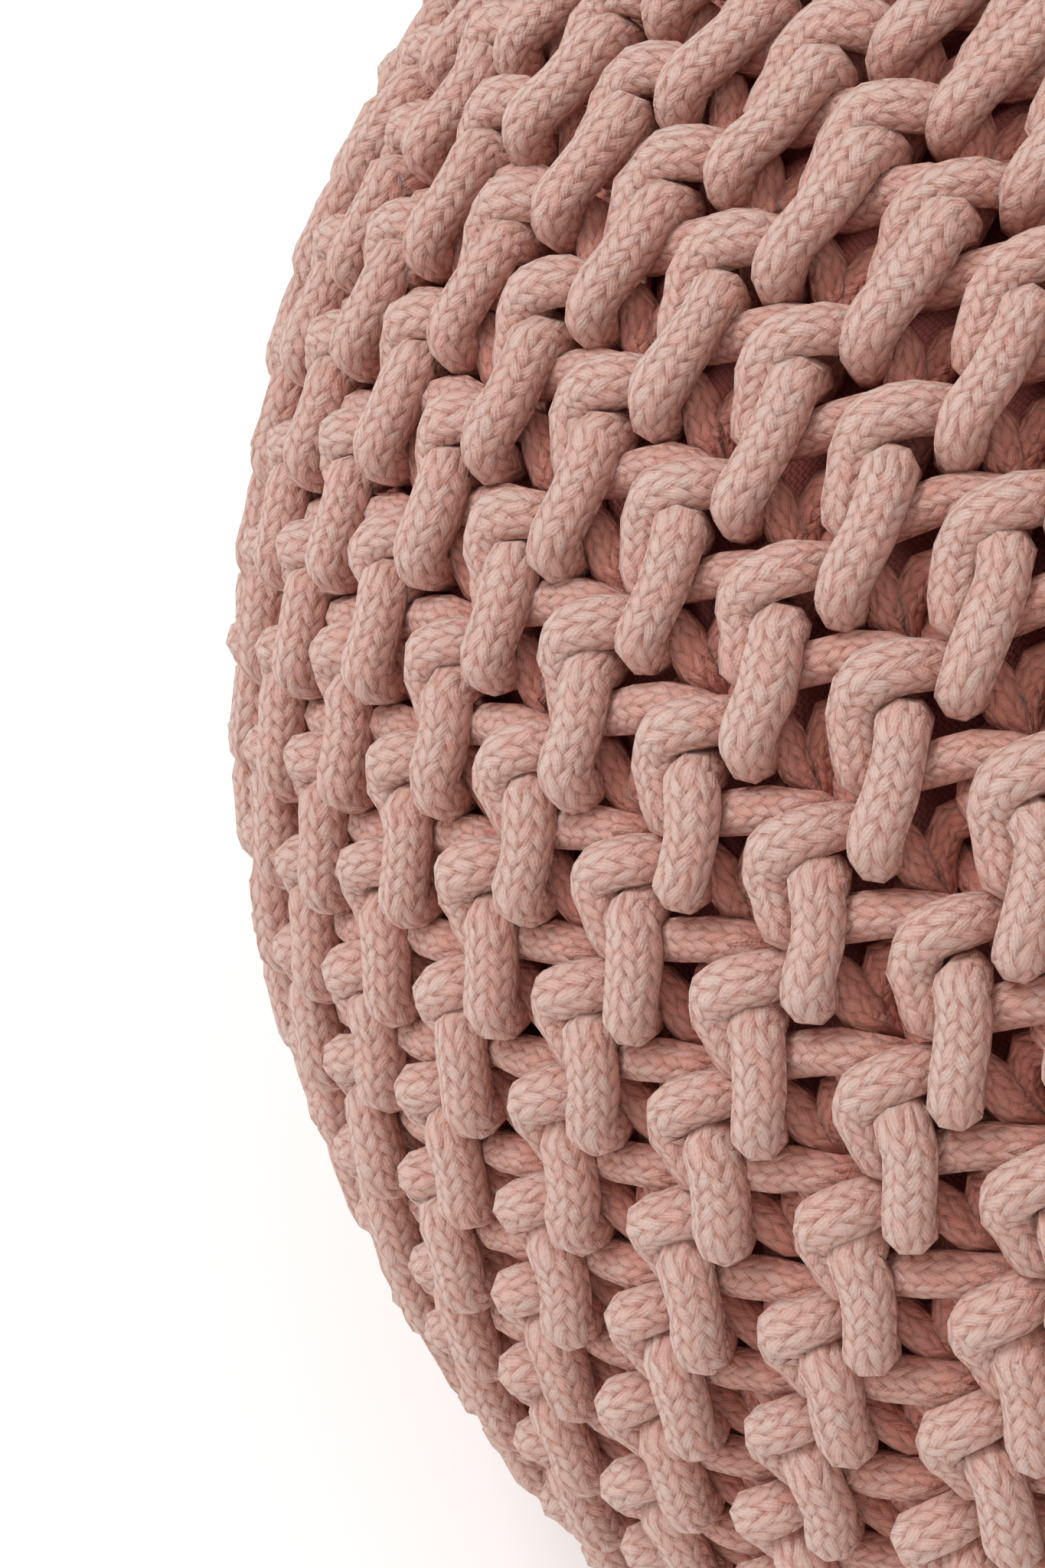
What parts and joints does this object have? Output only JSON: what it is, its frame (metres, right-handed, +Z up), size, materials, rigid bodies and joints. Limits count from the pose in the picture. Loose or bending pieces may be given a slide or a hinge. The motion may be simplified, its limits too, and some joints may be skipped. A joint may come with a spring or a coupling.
{
  "type": "knitted pouf",
  "caption": "Round floor pouf with a cover hand-knitted in thick braided cotton rope, ridges running from top to bottom, over a filled cloth casing.",
  "frame": {"origin": "centre of the flat underside, on the floor", "axes": "+Z up through the drawn-in eye of the top; -Y is the side that faces the camera"},
  "size_m": [0.4998, 0.4998, 0.3768],
  "materials": {
    "cotton_rope": "soft matt braided cotton, dusty pink",
    "casing_cloth": "fine plain-weave cotton, dusty mauve"
  },
  "bodies": {
    "root": {"knitted_cover": "cotton_rope", "inner_casing": "casing_cloth"}
  },
  "joints": []
}
